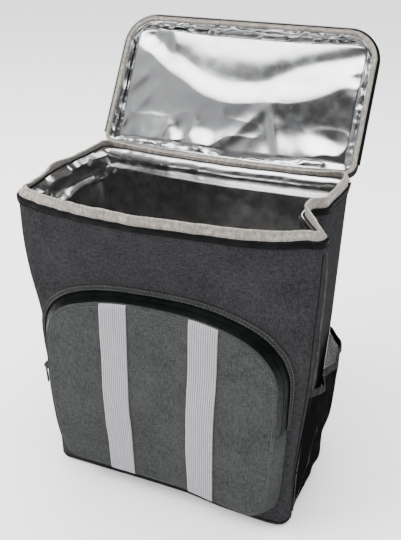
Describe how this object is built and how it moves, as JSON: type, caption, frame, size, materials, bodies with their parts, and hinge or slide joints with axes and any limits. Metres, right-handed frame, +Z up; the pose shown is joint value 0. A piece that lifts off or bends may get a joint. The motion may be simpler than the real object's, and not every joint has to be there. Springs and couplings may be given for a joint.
{
  "type": "cooler backpack",
  "caption": "Soft insulated backpack with a foil-lined box body, zip lid thrown open, arched front pocket with elastic bands, side net pockets and padded straps.",
  "frame": {"origin": "middle of the base, on the floor", "axes": "+Z up from the floor, -Y the front with the pocket, +X the wearer's right"},
  "size_m": [0.3515, 0.3171, 0.4956],
  "materials": {
    "dark_cloth": "dark charcoal coated cloth, matte",
    "grey_cloth": "charcoal grey coated cloth, a little lighter than the body",
    "silver_foil": "soft creased silver film",
    "black_tape": "black coated zip tape",
    "pale_binding": "pale greige bound seam",
    "pale_elastic": "pale ribbed elastic",
    "black_plastic": "black moulded plastic",
    "black_net": "fine black netting",
    "strap_cloth": "dark padded strap cloth",
    "strap_web": "black woven webbing"
  },
  "bodies": {
    "root": {"body_shell": "dark_cloth", "foil_liner": "silver_foil", "mouth_zip_tape": "black_tape", "mouth_zip_teeth": "black_tape", "mouth_binding": "pale_binding", "lid_shell": "dark_cloth", "lid_foil": "silver_foil", "lid_binding": "pale_binding", "lid_zip_tape": "black_tape", "lid_zip_teeth": "black_tape", "lid_hinge": "pale_binding", "pocket_zip_rear": "black_tape", "pocket_zip_front": "black_tape", "pocket_gusset": "grey_cloth", "pocket_panel": "grey_cloth", "pocket_welt": "grey_cloth", "elastic_left": "pale_elastic", "elastic_right": "pale_elastic", "pocket_slider": "black_plastic", "pocket_pull": "black_plastic", "net_right": "black_net", "net_right_hem": "black_tape", "net_left": "black_net", "net_left_hem": "black_tape", "strap_right": "strap_cloth", "strap_left": "strap_cloth", "lock_right": "black_plastic", "lock_left": "black_plastic", "web_right": "strap_web", "web_left": "strap_web", "carry_loop": "strap_web", "mouth_slider": "black_plastic"}
  },
  "joints": []
}
